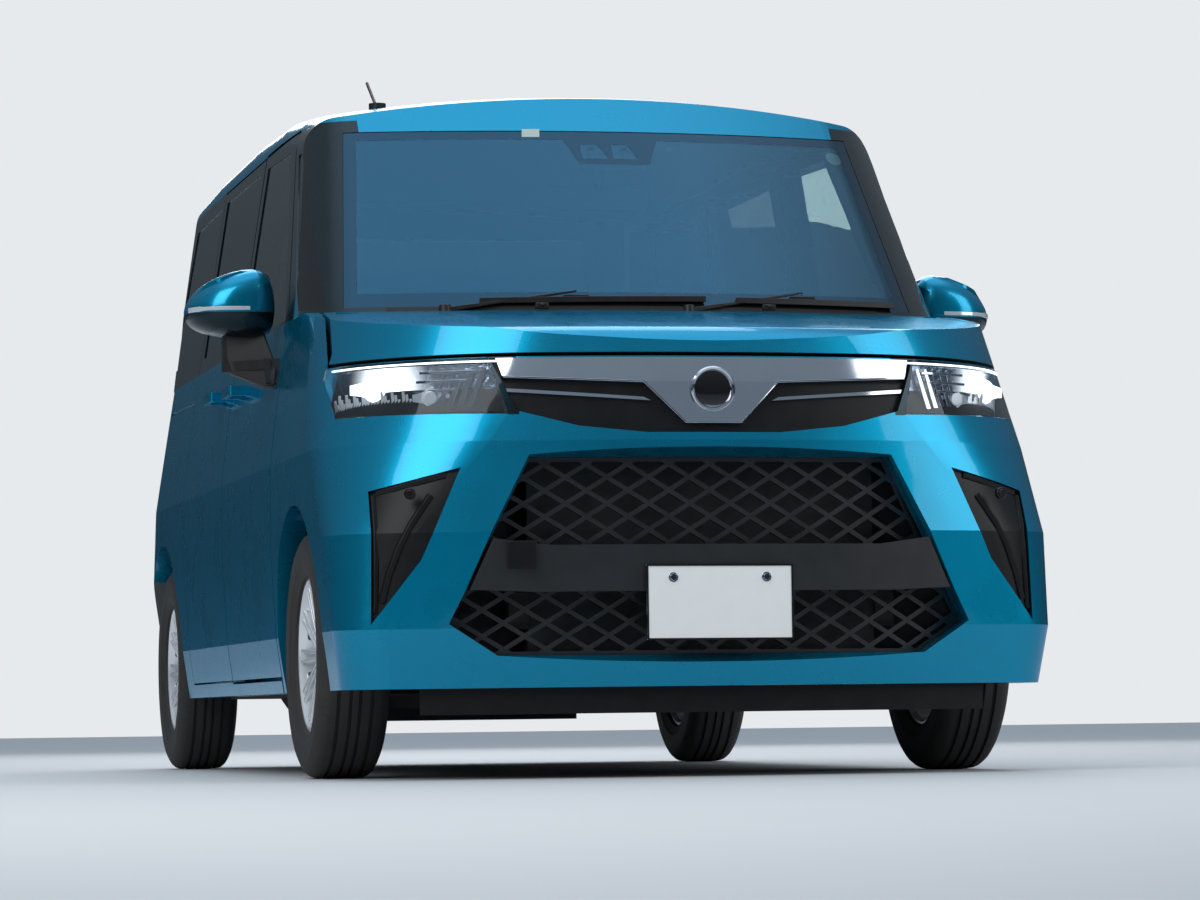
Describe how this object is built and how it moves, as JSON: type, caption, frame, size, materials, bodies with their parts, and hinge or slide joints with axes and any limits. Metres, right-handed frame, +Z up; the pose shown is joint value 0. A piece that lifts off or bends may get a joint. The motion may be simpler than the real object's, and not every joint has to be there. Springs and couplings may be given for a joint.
{
  "type": "compact minivan",
  "caption": "Short tall five-door minivan in turquoise with hinged front doors, sliding rear doors, lifting tailgate and bonnet, and steered front wheels.",
  "frame": {"origin": "middle of the body's width and length, on the ground the tyres stand on", "axes": "+Z up, +Y towards the rear, so the front faces -Y, and +X is the car's left side"},
  "size_m": [2.0112, 3.7095, 1.7934],
  "materials": {
    "paint": "metallic gloss",
    "underbody": "matt coated",
    "black_plastic": "textured",
    "grille_black": "gloss",
    "glass": "tinted clear",
    "lamp_clear": "clear",
    "lamp_red": "clear",
    "plate_white": "satin",
    "engine_alloy": "cast",
    "chassis_steel": "painted black",
    "exhaust_steel": "dull",
    "tank_plastic": "matt",
    "trim_plastic": "grained",
    "seat_cloth": "woven",
    "wheel_silver": "silver painted",
    "tyre": "matt",
    "chrome": "bright plated"
  },
  "bodies": {
    "body": {"roof_panel": "paint", "body_side_l": "paint", "body_side_r": "paint", "fenders": "paint", "front_bumper": "paint", "rear_bumper": "paint", "sliding_doors": "paint", "floor_pan": "underbody", "cowl": "black_plastic", "windscreen": "glass", "side_glasses": "glass", "headlamps": "lamp_clear", "tail_lamps": "lamp_red", "nose_trim": "grille_black", "lower_grille": "grille_black", "grille_trim": "chrome", "lamp_housings": "grille_black", "number_plate": "plate_white", "antenna": "black_plastic", "engine_block": "engine_alloy", "front_suspension": "chassis_steel", "rear_axle": "chassis_steel", "exhaust": "exhaust_steel", "fuel_tank": "tank_plastic", "dashboard": "trim_plastic", "steering_wheel": "trim_plastic", "seats": "seat_cloth"},
    "door_l": {"front_door_l": "paint", "front_door_glass_l": "glass", "mirror_l": "black_plastic"},
    "door_r": {"front_door_r": "paint", "front_door_glass_r": "glass", "mirror_r": "black_plastic"},
    "bonnet_lid": {"bonnet": "paint"},
    "tail_door": {"tailgate": "paint", "tailgate_glass": "glass"},
    "steer_l": {"knuckle_l": "chassis_steel"},
    "steer_r": {"knuckle_r": "chassis_steel"},
    "wheel_fl": {"rim_fl": "wheel_silver", "tyre_fl": "tyre"},
    "wheel_fr": {"rim_fr": "wheel_silver", "tyre_fr": "tyre"},
    "wheel_rl": {"rim_rl": "wheel_silver", "tyre_rl": "tyre"},
    "wheel_rr": {"rim_rr": "wheel_silver", "tyre_rr": "tyre"}
  },
  "joints": [
    {"name": "front_door_l_swing", "type": "hinge", "parent": "body", "child": "door_l", "pos_m": [0.813, -0.71, 0.61], "axis": [0, 0, -1], "range_deg": [0, 65]},
    {"name": "front_door_r_swing", "type": "hinge", "parent": "body", "child": "door_r", "pos_m": [-0.813, -0.71, 0.61], "axis": [0, 0, 1], "range_deg": [0, 65]},
    {"name": "bonnet_lift", "type": "hinge", "parent": "body", "child": "bonnet_lid", "pos_m": [0, -1.08, 1.068], "axis": [-1, 0, 0], "range_deg": [0, 50]},
    {"name": "tailgate_lift", "type": "hinge", "parent": "body", "child": "tail_door", "pos_m": [0, 1.613, 1.697], "axis": [1, 0, 0], "range_deg": [0, 80]},
    {"name": "steer_l_turn", "type": "hinge", "parent": "body", "child": "steer_l", "pos_m": [0.69, -1.13, 0.285], "axis": [0, 0, 1], "range_deg": [-35, 35]},
    {"name": "steer_r_turn", "type": "hinge", "parent": "body", "child": "steer_r", "pos_m": [-0.69, -1.13, 0.285], "axis": [0, 0, 1], "range_deg": [-35, 35]},
    {"name": "wheel_fl_spin", "type": "hinge", "parent": "steer_l", "child": "wheel_fl", "pos_m": [0.7325, -1.13, 0.285], "axis": [1, 0, 0], "continuous": true},
    {"name": "wheel_fr_spin", "type": "hinge", "parent": "steer_r", "child": "wheel_fr", "pos_m": [-0.7325, -1.13, 0.285], "axis": [1, 0, 0], "continuous": true},
    {"name": "wheel_rl_spin", "type": "hinge", "parent": "body", "child": "wheel_rl", "pos_m": [0.7375, 1.36, 0.285], "axis": [1, 0, 0], "continuous": true},
    {"name": "wheel_rr_spin", "type": "hinge", "parent": "body", "child": "wheel_rr", "pos_m": [-0.7375, 1.36, 0.285], "axis": [1, 0, 0], "continuous": true}
  ],
  "couplings": [
    {"joint": "steer_r_turn", "follows": "steer_l_turn", "ratio": 1}
  ]
}
